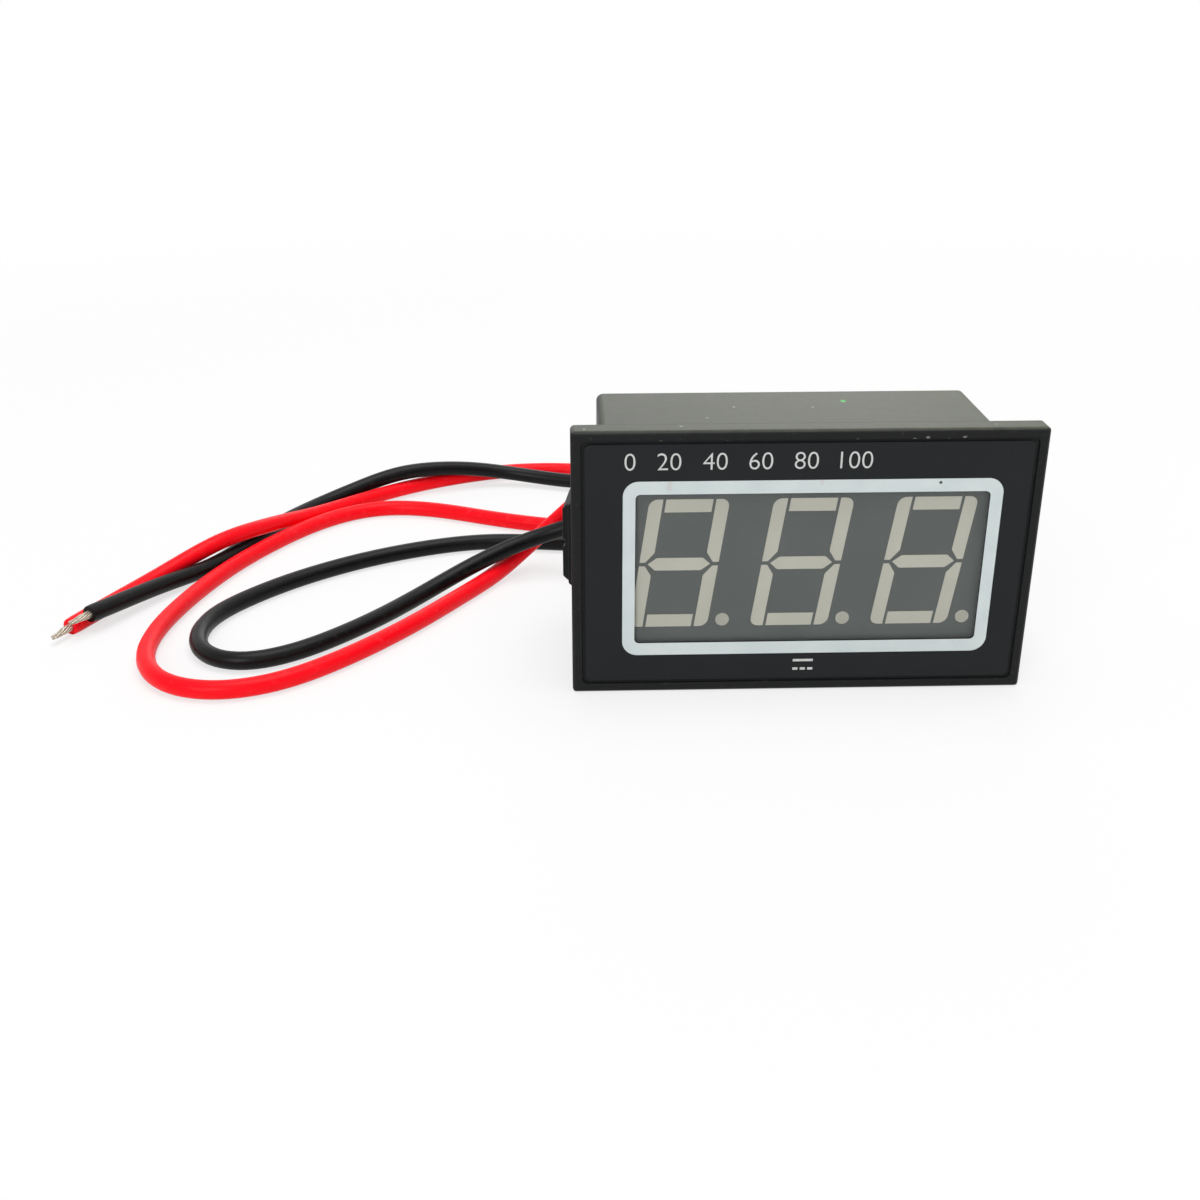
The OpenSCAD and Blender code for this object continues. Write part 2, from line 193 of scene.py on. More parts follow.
def meshPiece(name, work, angle=meshPlan["sharp"]):
    mesh = bpy.data.meshes.new(name)
    work.to_mesh(mesh)
    work.free()
    mesh.shade_smooth()
    mesh.set_sharp_from_angle(angle=math.radians(angle))
    return bpy.data.objects.new(name, mesh)


def joinedMesh(nodeName):
    # A CAD node's loose triangles as one mesh, without the edges that lie in a flat face
    work = bmesh.new()
    work.from_mesh(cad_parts[nodeName].data)
    bmesh.ops.remove_doubles(work, verts=work.verts, dist=meshPlan["join"])
    bmesh.ops.dissolve_limit(work, angle_limit=math.radians(meshPlan["flat"]),
                             verts=work.verts, edges=work.edges)
    return work


def softCopy(nodeName, name, width):
    # A CAD node's mesh with its hard edges rounded by a hair
    work = joinedMesh(nodeName)
    least = math.radians(meshPlan["hard"])
    hard = [e for e in work.edges if len(e.link_faces) == 2 and e.calc_face_angle(0) > least]
    bmesh.ops.bevel(work, geom=hard, affect="EDGES", offset=width * mm, offset_type="OFFSET",
                    segments=2, profile=0.5, material=-1, clamp_overlap=False)
    piece = meshPiece(name, work)
    piece.modifiers.new("evenShading", "WEIGHTED_NORMAL").keep_sharp = True
    return piece


def dress(nodeName, paint):
    # A CAD node whose shape is right keeps its mesh and gets a better finish.
    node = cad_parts[nodeName]
    node.data.materials.clear()
    node.data.materials.append(paint.material)


cameraPlan = {
    "place": (-24.58, -143.25, 70.16), "yaw": 1.513, "pitch": 24.07, "roll": -0.12,  # mm and degrees
    "lens": 42, "sensor": 36,
    "nearest": 0.01, "farthest": 20}  # metres


def makeCamera():
    data = bpy.data.cameras.new("camera")
    data.lens = cameraPlan["lens"]
    data.sensor_width = cameraPlan["sensor"]
    data.clip_start = cameraPlan["nearest"]
    data.clip_end = cameraPlan["farthest"]
    camera = bpy.data.objects.new("camera", data)
    scene.collection.objects.link(camera)
    turn = (Matrix.Rotation(math.radians(-cameraPlan["yaw"]), 4, "Z")
            @ Matrix.Rotation(math.radians(90 - cameraPlan["pitch"]), 4, "X")
            @ Matrix.Rotation(math.radians(cameraPlan["roll"]), 4, "Z"))
    camera.matrix_world = Matrix.Translation(Vector(cameraPlan["place"]) * mm) @ turn
    scene.camera = camera


makeCamera()
print("camera placed")

studioPlan = {
    "worldFill": 0.38,
    "floorReach": 4,  # metres from the middle to each side
    "floorShare": 0.7,  # how much of the floor's own white is seen close to the meter
    "floorNear": 0.13, "floorFar": 0.34,  # metres between which the rest of it comes in
    "lamps": (
        # name, place in metres, power in watts, size in metres
        ("keyLamp", (0.06, 0.02, 0.80), 4.8, 0.7),
        ("fillLamp", (-0.35, -0.75, 0.45), 3.0, 0.5),
        ("backLamp", (0.08, 0.80, 0.32), 0.9, 0.5))}


def seenDirectly(tree):
    # 1 for camera, glossy and transmission rays, 0 for the rays that light things
    path = tree.nodes.new("ShaderNodeLightPath")
    most = path.outputs["Is Camera Ray"]
    for name in ("Is Glossy Ray", "Is Transmission Ray"):
        node = tree.nodes.new("ShaderNodeMath")
        node.operation = "MAXIMUM"
        tree.links.new(most, node.inputs[0])
        tree.links.new(path.outputs[name], node.inputs[1])
        most = node.outputs[0]
    return most


def makeWorld():
    world = bpy.data.worlds.new("studio")
    scene.world = world
    world.use_nodes = True
    tree = world.node_tree
    tree.nodes.clear()
    fill = tree.nodes.new("ShaderNodeBackground")
    fill.inputs["Strength"].default_value = studioPlan["worldFill"]
    white = tree.nodes.new("ShaderNodeBackground")
    white.inputs["Strength"].default_value = 1
    for shade in (fill, white):
        shade.inputs["Color"].default_value = (1, 1, 1, 1)
    mix = tree.nodes.new("ShaderNodeMixShader")
    out = tree.nodes.new("ShaderNodeOutputWorld")
    tree.links.new(seenDirectly(tree), mix.inputs[0])
    tree.links.new(fill.outputs[0], mix.inputs[1])
    tree.links.new(white.outputs[0], mix.inputs[2])
    tree.links.new(mix.outputs[0], out.inputs["Surface"])


def makeLamps():
    for name, place, power, size in studioPlan["lamps"]:
        data = bpy.data.lights.new(name, "AREA")
        data.shape = "DISK"
        data.size = size
        data.energy = power
        lamp = bpy.data.objects.new(name, data)
        scene.collection.objects.link(lamp)
        turn = Vector(place).to_track_quat("Z", "Y").to_matrix().to_4x4()
        lamp.matrix_world = Matrix.Translation(place) @ turn


def makeFloor():
    work = bmesh.new()
    bmesh.ops.create_grid(work, x_segments=2, y_segments=2, size=studioPlan["floorReach"])
    floor = meshPiece("floor", work)
    scene.collection.objects.link(floor)
    paper = Paint("paleFloor", "#ecebeb", 0.9, Specular_IOR_Level=0.0)
    tree = paper.tree
    least = studioPlan["floorShare"]
    away = paper.add("ShaderNodeVectorMath", {"operation": "LENGTH"}, [paper.place()], output="Value")
    share = paper.band(away, studioPlan["floorNear"], studioPlan["floorFar"]) * (1 - least)
    seen = Value(paper, seenDirectly(tree)) * (share + least)
    glow = tree.nodes.new("ShaderNodeEmission")
    blend = tree.nodes.new("ShaderNodeMixShader")
    tree.links.new(seen.socket, blend.inputs[0])
    tree.links.new(paper.shader.outputs[0], blend.inputs[1])
    tree.links.new(glow.outputs[0], blend.inputs[2])
    tree.links.new(blend.outputs[0], tree.nodes["Material Output"].inputs["Surface"])
    floor.data.materials.append(paper.material)


makeWorld()
makeLamps()
makeFloor()
scene.view_settings.view_transform = "Standard"
print("floor and lamps made")


leadPlan = {
    "diameter": 2.1, "spacing": 1.0,  # mm
    "cutEdge": 0.94,  # the knife closes the cut edges a little
    "steps": 8,  # points on the curve between two points of a route
    "easing": 14, "held": 6}  # rounds of evening out, and points that it leaves alone at the case

# x, depth behind the front face, height, all in mm
redRoute = [
    (-14.5, 12.2, 17.5), (-14.5, 18.5, 17.5), (-14.6, 23.5, 17.2), (-15.8, 28, 16), (-18.4, 31.8, 13.6),
    (-21.6, 34.2, 10.5), (-27.4, 35.7, 4.6), (-30.4, 34.2, 2.3), (-33, 30.6, 1.25), (-37, 24.2, 1.1),
    (-43.4, 14.3, 1.1), (-50, 6.2, 1.1), (-55.8, 1.2, 1.1), (-62, -0.6, 1.1), (-67.8, 1.4, 1.1),
    (-71.2, 6.6, 1.1), (-72, 13.5, 1.1), (-70.6, 22.8, 1.1), (-67.2, 34, 1.1), (-62.4, 43.6, 1.1),
    (-57, 51, 1.1), (-51, 54.8, 1.1), (-44, 54.2, 1.1), (-33, 49.3, 1.1), (-24.4, 46.4, 1.1),
    (-17, 46.2, 1.1), (-11.2, 50, 1.1), (-9, 56.4, 1.1), (-11, 63.4, 1.1), (-16.8, 68.6, 1.1),
    (-24.4, 70.8, 1.1), (-33, 70.5, 1.1), (-41.2, 66.9, 1.3), (-48.8, 62.1, 1.3), (-55.1, 56.6, 1.2),
    (-60, 51, 1.5), (-63.2, 46, 2.5), (-66, 41, 3.3), (-69.1, 36.9, 3.5), (-75.7, 29.5, 1.5),
    (-78.4, 25, 1.1), (-82.2, 16.1, 1.1)]
blackRoute = [
    (-14.5, 12.2, 10), (-14.5, 18.5, 10), (-14.7, 24, 9.8), (-16.8, 28.8, 9), (-20.8, 31.9, 7.7),
    (-26, 32.8, 5.8), (-31.6, 31.4, 4.3), (-37, 28, 2.8), (-42, 23.4, 1.5), (-47.4, 16.4, 1.15),
    (-55.2, 8.2, 1.15), (-60.6, 5.9, 1.15), (-64.9, 8, 1.1), (-66.9, 12.4, 1.1), (-66.4, 18.4, 1.1),
    (-63, 24, 1.1), (-57.4, 30.2, 1.1), (-48, 37, 1.1), (-36, 41.4, 1.1), (-25, 40.6, 1.1),
    (-16, 39.4, 1.1), (-7.8, 40.6, 1.1), (-2.6, 45.2, 1.1), (-1.6, 51.6, 1.2), (-4.4, 57, 2.3),
    (-9.9, 60.8, 3.6), (-20.8, 63.6, 1.5), (-32, 67.4, 1.7), (-38, 66.8, 2.8), (-44, 64.6, 3.6),
    (-49.2, 62.6, 3.6), (-53.8, 60.7, 2.4), (-58.2, 57.4, 1.5), (-62.2, 52.4, 1.1), (-65.3, 45.8, 1.1),
    (-67.7, 38.8, 1.1), (-70.4, 32.9, 1.1), (-73.7, 28.2, 1.5), (-80, 16.7, 2.4)]


def curvedLine(route):
    # Centripetal Catmull-Rom line through the route's points, in metres
    pts = [Vector((x, frontY + d, z)) * mm for x, d, z in route]
    pts = [pts[0] * 2 - pts[1], *pts, pts[-1] * 2 - pts[-2]]
    steps = leadPlan["steps"]
    line = []
    for a, b, c, d in zip(pts, pts[1:], pts[2:], pts[3:]):
        before, here, after = ((q - p).length ** 0.5 for p, q in ((a, b), (b, c), (c, d)))
        leave = ((b - a) / before - (c - a) / (before + here) + (c - b) / here) * here
        arrive = ((c - b) / here - (d - b) / (here + after) + (d - c) / after) * here
        for i in range(steps):
            t = i / steps
            line.append(b * (2 * t ** 3 - 3 * t * t + 1) + leave * (t ** 3 - 2 * t * t + t)
                        + c * (3 * t * t - 2 * t ** 3) + arrive * (t ** 3 - t * t))
    return line + [pts[-2]]


def evenLine(line, spacing):
    # The same line with its points the same way apart
    even = [line[0]]
    left = spacing
    for a, b in zip(line, line[1:]):
        span = (b - a).length
        while left <= span:
            even.append(a.lerp(b, left / span))
            left += spacing
        left -= span
    return even + [line[-1]]


def leadLine(route):
    # Lets the bends even out, as a soft lead does, and keeps both ends where they are
    held = leadPlan["held"]
    line = evenLine(curvedLine(route), leadPlan["spacing"] * mm)
    for again in range(leadPlan["easing"]):
        eased = [(a + b * 2 + c) / 4 for a, b, c in zip(line, line[1:], line[2:])]
        line = line[:held] + eased[held - 1:] + [line[-1]]
    return line


def lineLength(line):
    return sum((b - a).length for a, b in zip(line, line[1:]))


def tube(name, lines, radius, roundness, radii=None):
    data = bpy.data.curves.new(name, "CURVE")
    data.dimensions = "3D"
    data.bevel_depth = radius
    data.bevel_resolution = roundness
    data.use_fill_caps = True
    data.twist_mode = "MINIMUM"
    for line in lines:
        spline = data.splines.new("POLY")
        spline.points.add(len(line) - 1)
        spline.use_smooth = True
        for i, (point, place) in enumerate(zip(spline.points, line)):
            point.co = (*place, 1)
            point.radius = radii[i] if radii else 1
    return bpy.data.objects.new(name, data)


def insulation(name, base, light, dark, gloss):
    # Soft rubbery sleeve with a little dust and scuffing
    paint = Paint(name, base, 0.4, Specular_IOR_Level=gloss)
    cloud = paint.noise(130, 3)
    fine = paint.noise(5200, 2)
    scuff = paint.ramp(paint.noise(900, 4, 0.65), (0.56, 0.0), (0.72, 1.0))
    paint.feed(
        Base_Color=paint.blended(scuff * 0.2, paint.blended(cloud, dark, base), light),
        Roughness=cloud * 0.12 + fine * 0.08 + 0.26 + scuff * 0.16,
        Normal=paint.bump(fine * 0.5 + cloud * 2, 0.00003, 0.5))
    return paint


def tinnedStrands():
    paint = Paint("tinnedStrands", "#cfc8b8", 0.34, Metallic=1.0)
    grain = paint.noise(2600, 3)
    paint.feed(
        Base_Color=paint.blended(grain, "#8f8676", "#e0d9c9"),
        Roughness=grain * 0.25 + 0.26,
        Normal=paint.bump(grain, 0.00004, 0.5))
    return paint


redInsulation = insulation("redInsulation", "#ff0c1e", "#ff585c", "#f80818", 0.12)
blackInsulation = insulation("blackInsulation", "#0d0e0f", "#383533", "#080808", 0.15)
strandPaint = tinnedStrands()


strandPlan = {
    "radius": 0.12,
    "rings": ((0, 1), (0.22, 6), (0.38, 10)),  # mm from the middle, and how many strands
    "swing": 90,  # degrees that a ring is turned for each mm that it lies out
    # the bare ends: length in mm, points on a strand, and degrees
    "bareEnd": 3.0, "points": 15, "twist": 100,
    "pinch": 0.4, "pinchFrom": 0.5, "flat": 0.45,  # how much the tip narrows, from where, and how flat it ends
    "stray": 0.07, "droop": 0.15,  # mm at the tip
    "ragged": 0.1, "tuck": 0.15,  # shares of the length: the uneven cut, and the start inside the sleeve
    # the other ends, at the board
    "rootPoints": 7, "rootTwist": 70,
    "inBoard": 0.4, "inSleeve": 0.2}  # mm that they reach into each


def bundle():
    # Where each strand lies in the bundle: how far out in mm, and at what angle
    return [(away, 360 * k / count + away * strandPlan["swing"])
            for away, count in strandPlan["rings"] for k in range(count)]


def bareEnd(name, start, ahead, replaced):
    # Twisted strands that leave the cut insulation, tinned and pressed flat towards the tip
    plan = strandPlan
    side = ahead.cross(Vector((0, 0, 1))).normalized()
    up = side.cross(ahead)
    later = 1 - plan["pinchFrom"]
    lines = []
    for n, (away, angle) in enumerate(bundle()):
        sheenLighterRight = 1 - plan["ragged"] * (1 - math.cos(n * 2.3))
        strand = []
        for i in range(plan["points"]):
            t = i / (plan["points"] - 1)
            pinch = 1 - plan["pinch"] * max(0, t - plan["pinchFrom"]) / later
            flat = 1 - plan["flat"] * t
            turn = math.radians(angle + plan["twist"] * t)
            stray = noise.noise(Vector((n * 3.1, t * 2.4, 0.7))) * plan["stray"] * t
            reach = plan["bareEnd"] * mm * (t * sheenLighterRight - plan["tuck"] * (1 - t))
            strand.append(start + ahead * reach
                          + side * ((away * pinch + stray) * math.cos(turn) * mm)
                          + up * ((away * flat * pinch + stray) * math.sin(turn) * mm)
                          - Vector((0, 0, plan["droop"] * mm)) * t * t)
        lines.append(strand)
    return finished(tube(name, lines, plan["radius"] * mm, 1), strandPaint, replaced)


def makeLead(name, tipName, nodes, route, paint):
    line = leadLine(route)
    radii = [1.0] * len(line)
    radii[0] = radii[-1] = leadPlan["cutEdge"]
    piece = finished(tube(name, [line], leadPlan["diameter"] / 2 * mm, 5, radii), paint, [nodes[0]])
    tip = bareEnd(tipName, line[-1], (line[-1] - line[-3]).normalized(), [nodes[1]])
    lineLength(line)
    print(name, "length", round(lineLength(line) * 1000, 1), "mm")


makeLead("redLead", "redStrands", ("red_wire", "red_tip"), redRoute, redInsulation)
makeLead("blackLead", "blackStrands", ("black_wire", "black_tip"), blackRoute, blackInsulation)
print("leads laid")


casePlan = {
    "edge": 0.1, "bezelBack": -8.0, "bezelTop": 29.0,
    "greenSpeck": (6.34, 6.5, 27.0, 0.22),  # here and below: x, y, z and radius in mm
    "nicks": ((-15.0, -10.4, 27.95, 0.1), (-8.4, -10.4, 27.95, 0.09), (4.6, -10.4, 27.95, 0.1),
              (10.3, -10.4, 27.95, 0.12), (11.6, -10.4, 28.1, 0.13), (13.7, -10.4, 27.95, 0.09),
              (15.3, -10.4, 28.1, 0.13)),
    "grit": ((-9.3, 0.6, 27.0, 0.14), (-6.0, 4.6, 27.0, 0.17), (2.6, 4.2, 27.0, 0.15),
             (-22.6, -9.6, 29.0, 0.15), (-12.9, -8.9, 29.0, 0.18), (18.7, -9.2, 29.0, 0.13)),
    # x and radius of the painted shade in notches along the bezel's back top edge
    "shadedNotches": ((-13.4, 0.14), (-0.4, 0.2), (3.2, 0.13), (8.1, 0.16), (11.0, 0.22), (17.6, 0.12))}


def mouldedPlastic():
    # Black plastic with a dull sheen, small nicks, dust and a painted sheen on what faces up, lighter towards
    # the right, and a painted dark line of shade along the bezel's back top edge
    plan = casePlan
    back, top = plan["bezelBack"], plan["bezelTop"]
    paint = Paint("mouldedPlastic", "#141516", 0.45, Specular_IOR_Level=0.17)
    mottle = paint.noise(420, 5, 0.68)
    grain = paint.noise(9000, 2)
    streak = paint.noise(1150, 3, 0.6, at=paint.stretched((1, 0.12, 1)))
    dust = paint.ramp(paint.noise(1700, 5, 0.7), (0.6, 0.0), (0.72, 1.0))
    x, y, z = [axis * 1000 for axis in paint.axes()]
    up = paint.band(paint.facing()[2], 0.5, 0.95) * paint.band(z, top - 6, top - 3)
    # painted shade: a dark line along the bezel's back top edge, darker still at the notches, where the dust
    # and painted sheen are taken off
    shadedBackEdge = paint.band(z, top - 0.8, top - 0.3) * paint.band(y, back - 0.34, back - 0.1)
    for along, radius in plan["shadedNotches"]:
        shadedBackEdge = shadedBackEdge.larger(paint.spot(along, back, top, radius))
    sheenLighterRight = paint.band(x, -26, 16) * 0.42 + 0.6  # painted light: the dust and painted sheen are lighter towards the right
    # dust and painted sheen: up-facing surfaces near the top are lightened, standing in for the light that they
    # catch
    dustAndSheen = up * (mottle * 0.5 + streak * 0.2 + dust * 0.1 - 0.03) * (1 - shadedBackEdge * 0.9) * sheenLighterRight
    pale = paint.spot(*plan["nicks"][0], (0.6, 1, 1))
    for nick in plan["nicks"][1:]:
        pale = pale.larger(paint.spot(*nick, (0.6, 1, 1)))
    for crumb in plan["grit"]:
        pale = pale.larger(paint.spot(*crumb))
    plain = paint.blended(mottle, "#111213", "#191a1b")
    # 858a76 is the colour of the dust and painted sheen on what faces up
    dustAndSheenColour = paint.blended(dust * 0.16, paint.blended(dustAndSheen, plain, "#858a76"), "#6c6e62")
    nicked = paint.blended(pale * 0.7, dustAndSheenColour, "#a3a69c")
    fleck = paint.spot(*plan["greenSpeck"], (0.8, 0.55, 1))
    paint.feed(
        Base_Color=paint.blended(fleck, nicked, "#4cb85a"),
        Roughness=mottle * 0.22 + streak * 0.1 + grain * 0.06 + 0.28 + dust * 0.12,
        Normal=paint.bump(grain * 0.8 + mottle * 2 + streak, 0.00003, 0.5))
    return paint


casePaint = mouldedPlastic()
finished(softCopy("case", "caseShell", casePlan["edge"]), casePaint, ["case"])
print("case made")


def filmPrint():
    # Matt ink on the back of a clear film
    paint = Paint("filmPrint", "#1b1d1f", 0.5, Specular_IOR_Level=0.16)
    cloud = paint.noise(160, 3)
    grain = paint.noise(14000, 2)
    speck = paint.ramp(paint.noise(2600, 3, 0.6), (0.71, 0.0), (0.75, 1.0))
    paint.feed(
        Base_Color=paint.blended(speck * 0.3, paint.blended(cloud, "#181a1c", "#1f2123"), "#6c6e6a"),
        Roughness=cloud * 0.1 + grain * 0.08 + 0.4,
        Normal=paint.bump(grain, 0.00001, 0.4))
    return paint


ringPlan = {
    "darkDot": (13.36, -10.45, 23.32, 0.15),  # x, y, z and radius in mm
    "stains": ((-14.1, -10.45, 23.2, 0.4), (1.3, -10.45, 23.6, 0.34))}


def ringPrint():
    paint = Paint("ringPrint", "#cfd9d8", 0.42, Specular_IOR_Level=0.3)
    cloud = paint.noise(300, 3)
    rub = paint.ramp(paint.noise(1900, 4, 0.6), (0.66, 0.0), (0.76, 1.0))
    worn = paint.blended(rub * 0.35, paint.blended(cloud, "#c2cdcd", "#d8e1e0"), "#a8a6a4")
    stains = [paint.spot(*stain, (1.6, 1, 0.8)) for stain in ringPlan["stains"]]
    stained = paint.blended(stains[0].larger(stains[1]) * 0.22, worn, "#c0a49a")
    paint.feed(
        Base_Color=paint.blended(paint.spot(*ringPlan["darkDot"]), stained, "#33302e"),
        Roughness=cloud * 0.15 + 0.36)
    return paint


dress("front_film", filmPrint())
dress("window_ring", ringPrint())

numberPlan = {
    "values": ("0", "20", "40", "60", "80", "100"),
    "left": -18.6, "right": 6.3, "baseline": 24.9, "height": 1.78,
    "depth": 0.1,  # from the bezel's face to the film's
    "thick": 0.03,
    "thinner": -0.012}  # takes a little off the strokes


def numerals():
    # Plain scale numbers over the window, with even gaps between them
    plan = numberPlan
    flats = []
    for word in plan["values"]:
        data = bpy.data.curves.new("figure", "FONT")
        data.body = word
        data.size = 1
        data.offset = plan["thinner"]
        figure = bpy.data.objects.new("figure", data)
        scene.collection.objects.link(figure)
        bpy.context.view_layer.update()
        flat = bpy.data.meshes.new_from_object(figure.evaluated_get(bpy.context.evaluated_depsgraph_get()))
        bpy.data.objects.remove(figure)
        flats.append(flat)
    spans = [(min(v.co.x for v in flat.vertices), max(v.co.x for v in flat.vertices)) for flat in flats]
    tall = max(v.co.y for v in flats[0].vertices)
    scale = plan["height"] * mm / tall
    inked = sum(high - low for low, high in spans) * scale
    gap = ((plan["right"] - plan["left"]) * mm - inked) / (len(flats) - 1)
    work = bmesh.new()
    left = plan["left"] * mm
    for flat, (low, high) in zip(flats, spans):
        flat.transform(Matrix.Translation((left, (frontY + plan["depth"]) * mm, plan["baseline"] * mm))
                       @ Matrix.Rotation(math.radians(90), 4, "X")
                       @ Matrix.Scale(scale, 4) @ Matrix.Translation((-low, 0, 0)))
        work.from_mesh(flat)
        bpy.data.meshes.remove(flat)
        left += (high - low) * scale + gap
    bmesh.ops.remove_doubles(work, verts=work.verts, dist=1e-6)
    bmesh.ops.dissolve_degenerate(work, dist=1e-6, edges=work.edges)
    lifted = bmesh.ops.extrude_face_region(work, geom=work.faces[:])
    moved = [g for g in lifted["geom"] if isinstance(g, bmesh.types.BMVert)]
    bmesh.ops.translate(work, verts=moved, vec=(0, -plan["thick"] * mm, 0))
    bmesh.ops.recalc_face_normals(work, faces=work.faces)
    return meshPiece("scaleNumbers", work)


markPlan = {
    "x": 0.51, "barZ": 3.5, "dashZ": 2.5, "long": 2.14, "dash": 0.55, "high": 0.28,
    "depth": 0.085, "thick": 0.03, "edge": 0.006}


def dcMark():
    # Direct current: a bar over three dashes
    plan = markPlan
    work = bmesh.new()
    step = (plan["long"] - plan["dash"]) / 2
    bars = [(plan["x"], plan["barZ"], plan["long"])]
    bars += [(plan["x"] + i * step, plan["dashZ"], plan["dash"]) for i in (-1, 0, 1)]
    for x, z, width in bars:
        made = bmesh.ops.create_cube(work, size=1)["verts"]
        bmesh.ops.scale(work, verts=made, vec=(width * mm, plan["thick"] * mm, plan["high"] * mm))
        bmesh.ops.translate(work, verts=made, vec=(x * mm, (frontY + plan["depth"]) * mm, z * mm))
    bmesh.ops.bevel(work, geom=work.edges[:], affect="EDGES", offset=plan["edge"] * mm,
                    segments=1, profile=0.5, material=-1)
    return meshPiece("dcMark", work)


def whitePrint():
    paint = Paint("whitePrint", "#c9cbc9", 0.5)
    wear = paint.noise(3000, 3)
    paint.feed(Base_Color=paint.blended(wear, "#b4b6b4", "#dcdedc"), Roughness=wear * 0.2 + 0.4)
    return paint


printPaint = whitePrint()
finished(numerals(), printPaint)
finished(dcMark(), printPaint)
print("front print made")


displayPlan = {
    "drawnIn": 0.05, "paneEdge": 0.04,  # mm
    # the decimal points, in mm
    "pointX": (-8.2, 4.5, 17.2), "pointZ": 8.15, "pointDepth": 0.65, "pointRadius": 0.8}


def windowPane():
    # Thin smoky filter over the display
    paint = Paint("windowPane", "#565b59", 0.4, Alpha=0.14, Specular_IOR_Level=0.4)
    haze = paint.noise(90, 3)
    smear = paint.noise(500, 4, 0.6)
    paint.feed(
        Base_Color=paint.blended(haze, "#4e5351", "#666b69"),
        Roughness=haze * 0.1 + smear * 0.08 + 0.34,
        Alpha=haze * 0.06 + 0.12)
    return paint


def displayFace():
    paint = Paint("displayFace", "#676c6a", 0.6, Specular_IOR_Level=0.3)
    cloud = paint.noise(120, 3)
    fine = paint.noise(4200, 2)
    paint.feed(
        Base_Color=paint.blended(cloud, "#626765", "#717674"),
        Roughness=fine * 0.15 + 0.5,
        Normal=paint.bump(fine, 0.00002, 0.4))
    return paint


def milkySegment():
    # Cloudy resin in the light wells, thinner and so darker at the decimal points
    paint = Paint("milkySegment", "#e8e5d6", 0.5, Specular_IOR_Level=0.3)
    cloud = paint.noise(380, 3)
    y, z, radius = frontY + displayPlan["pointDepth"], displayPlan["pointZ"], displayPlan["pointRadius"]
    points = [paint.spot(x, y, z, radius) for x in displayPlan["pointX"]]
    thin = points[0].larger(points[1]).larger(points[2])
    paint.feed(
        Base_Color=paint.blended(thin * 0.3, paint.blended(cloud, "#e2e0cf", "#f0eee0"), "#a5a294"),
        Roughness=cloud * 0.15 + 0.42)
    return paint


def paneSheet():
    # The filter with its back drawn in a hair, so that it doesn't lie in the display's own face
    work = joinedMesh("display_filter")
    deepest = max(v.co.y for v in work.verts)
    behind = [v for v in work.verts if v.co.y > deepest - 0.01 * mm]
    bmesh.ops.translate(work, verts=behind, vec=(0, -displayPlan["drawnIn"] * mm, 0))
    bmesh.ops.bevel(work, geom=work.edges[:], affect="EDGES", offset=displayPlan["paneEdge"] * mm,
                    segments=2, profile=0.5, material=-1)
    return meshPiece("windowPane", work)


segmentPaint = milkySegment()
finished(paneSheet(), windowPane(), ["display_filter"])
dress("display_shell", displayFace())
for i in (1, 2, 3):
    dress(f"digit_{i}_segments", segmentPaint)


def potting():
    paint = Paint("potting", "#d8d4c4", 0.4)
    cloud = paint.noise(260, 4)
    paint.feed(Base_Color=paint.blended(cloud, "#c6c0ac", "#e2decf"), Roughness=cloud * 0.3 + 0.25,
               Normal=paint.bump(cloud, 0.0001, 0.5))
    return paint


dress("display_substrate", potting())
print("display dressed")


def solderMask():
    # Green lacquer on the faces, bare glass fibre on the cut edges
    paint = Paint("solderMask", "#1c6a38", 0.3, Coat_Weight=0.35, Coat_Roughness=0.12)
    weave = paint.noise(700, 2)
    cloud = paint.noise(90, 3)
    along = paint.facing()[1]
    faces = paint.band(along * along, 0.3, 0.7)
    paint.feed(
        Base_Color=paint.blended(faces, "#9c9a5c", paint.blended(cloud, "#155a2d", "#1f7340")),
        Roughness=weave * 0.12 + 0.26,
        Normal=paint.bump(weave, 0.00002, 0.5))
    return paint


def lacquered(name, low, high):
    # Thin layers on the board, such as covered copper and marking ink
    paint = Paint(name, high, 0.35, Coat_Weight=0.25, Coat_Roughness=0.15)
    cloud = paint.noise(900, 3)
    paint.feed(Base_Color=paint.blended(cloud, low, high), Roughness=cloud * 0.15 + 0.28)
    return paint


def tinPlate(name, low, high, rough):
    paint = Paint(name, high, rough, Metallic=1.0)
    grain = paint.noise(1800, 3)
    paint.feed(Base_Color=paint.blended(grain, low, high), Roughness=grain * 0.2 + rough - 0.1,
               Normal=paint.bump(grain, 0.00002, 0.5))
    return paint


partsPlan = {
    "diodeBand": (13.95, 14.45),  # z in mm
    "canMoon": 0.95,  # mm from the can's middle to its dark half moon
    "canTop": 0.02}  # mm below the can's top that still count as its top


def chipEpoxy(name, bandZ=None):
    # Matt black moulding, with a pale end band on the diode
    paint = Paint(name, "#29292b", 0.55)
    grain = paint.noise(6000, 3)
    cloud = paint.noise(300, 2)
    colour = paint.blended(cloud, "#222224", "#303032")
    if bandZ:
        z = paint.axes()[2] * 1000
        low, high = bandZ
        colour = paint.blended((z > low) * (z < high), colour, "#a6a7a4")
    paint.feed(Base_Color=colour, Roughness=grain * 0.2 + 0.45, Normal=paint.bump(grain, 0.00003, 0.5))
    return paint


def ceramic(name, low, high):
    paint = Paint(name, high, 0.35)
    cloud = paint.noise(1500, 3)
    paint.feed(Base_Color=paint.blended(cloud, low, high), Roughness=cloud * 0.2 + 0.25)
    return paint


tinPaint = tinPlate("tinPlate", "#a9aaa6", "#d6d7d3", 0.32)
solderPaint = tinPlate("solderShine", "#b4b6b4", "#e2e4e1", 0.36)
chipPaint = chipEpoxy("chipEpoxy")
diodePaint = chipEpoxy("diodeEpoxy", partsPlan["diodeBand"])
dress("circuit_board", solderMask())

